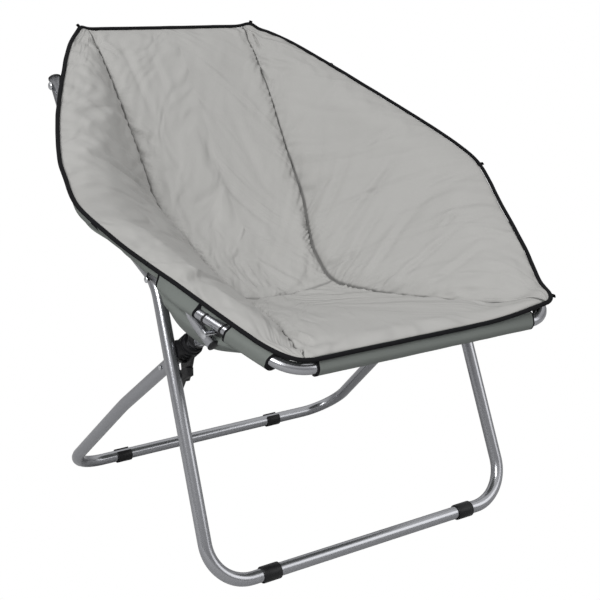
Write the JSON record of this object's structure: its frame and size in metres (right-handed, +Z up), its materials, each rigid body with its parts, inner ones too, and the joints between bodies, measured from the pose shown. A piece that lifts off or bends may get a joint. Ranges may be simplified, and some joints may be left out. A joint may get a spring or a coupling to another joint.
{
  "type": "folding saucer chair",
  "caption": "Folding chair with a hexagonal padded dish seat in a two-part tube rim, on two crossed tube leg frames with black fittings.",
  "frame": {"origin": "on the floor, under the middle of the whole chair", "axes": "+Z up; the sitter faces -Y; +X is the right side as seen from the front"},
  "size_m": [0.8246, 0.8574, 0.8407],
  "materials": {
    "steel_tube": "silver-grey powder coat, satin",
    "zinc": "bright zinc plate",
    "black_plastic": "moulded, fine satin",
    "seat_fabric": "light grey woven polyester, padded",
    "sleeve_fabric": "grey-green woven polyester, unpadded",
    "piping_fabric": "black woven binding over cord"
  },
  "bodies": {
    "rear_legs": {"rear_leg": "steel_tube", "scissor_hub_left": "black_plastic", "scissor_hub_right": "black_plastic", "scissor_rivet_left": "zinc", "scissor_rivet_right": "zinc", "stop_collar_left": "black_plastic", "stop_collar_right": "black_plastic", "rear_foot_left": "black_plastic", "rear_foot_right": "black_plastic", "rear_leg_plug_left": "black_plastic", "rear_leg_plug_right": "black_plastic", "stop_rivet_left": "zinc", "stop_rivet_right": "zinc", "lock_pin": "zinc"},
    "lever": {"lock_lever": "black_plastic"},
    "front_rim_half": {"front_rim": "steel_tube", "rim_saddle_left": "black_plastic", "rim_saddle_right": "black_plastic", "rear_leg_bolt_left": "zinc", "rear_leg_bolt_right": "zinc", "hinge_bush_left": "black_plastic", "hinge_bush_right": "black_plastic", "hinge_pin_left": "zinc", "hinge_pin_right": "zinc", "front_rim_plug_left": "black_plastic", "front_rim_plug_right": "black_plastic", "sleeve_front": "sleeve_fabric", "sleeve_front_side_left": "sleeve_fabric", "sleeve_front_side_right": "sleeve_fabric", "front_cushion": "seat_fabric", "front_piping": "zinc"},
    "rear_rim_half": {"rear_rim": "steel_tube", "tail_plug_left": "black_plastic", "tail_plug_right": "black_plastic", "sleeve_side_left": "sleeve_fabric", "sleeve_side_right": "sleeve_fabric", "sleeve_back": "sleeve_fabric", "rear_cushion": "seat_fabric", "rear_piping": "zinc"},
    "front_legs": {"front_leg": "steel_tube", "leg_spacer_left": "black_plastic", "leg_spacer_right": "black_plastic", "front_leg_bolt_left": "zinc", "front_leg_bolt_right": "zinc", "front_foot_left": "black_plastic", "front_foot_right": "black_plastic", "front_leg_plug_left": "black_plastic", "front_leg_plug_right": "black_plastic"}
  },
  "joints": [
    {"name": "rim_fold", "type": "hinge", "parent": "front_rim_half", "child": "rear_rim_half", "pos_m": [0, -0.18401, 0.49149], "axis": [1, 0, 0], "range_deg": [0, 110], "deforming": ["front_cushion", "rear_cushion", "front_piping", "rear_piping"]},
    {"name": "rear_leg_pivot", "type": "hinge", "parent": "rear_legs", "child": "front_rim_half", "pos_m": [0, -0.29669, 0.43077], "axis": [1, 0, 0], "range_deg": [-38.4, 0]},
    {"name": "front_leg_pivot", "type": "hinge", "parent": "rear_rim_half", "child": "front_legs", "pos_m": [0, 0.26309, 0.74128], "axis": [1, 0, 0], "range_deg": [-11.1, 0]},
    {"name": "lock_release", "type": "hinge", "parent": "rear_legs", "child": "lever", "pos_m": [0.26306, -0.13551, 0.31515], "axis": [1, 0, 0], "range_deg": [0, 25], "stiffness_Nm_per_rad": 0.3, "springref_deg": -8.59}
  ],
  "couplings": [
    {"joint": "rear_leg_pivot", "follows": "rim_fold", "ratio": -0.3484},
    {"joint": "front_leg_pivot", "follows": "rim_fold", "ratio": -0.1003}
  ]
}
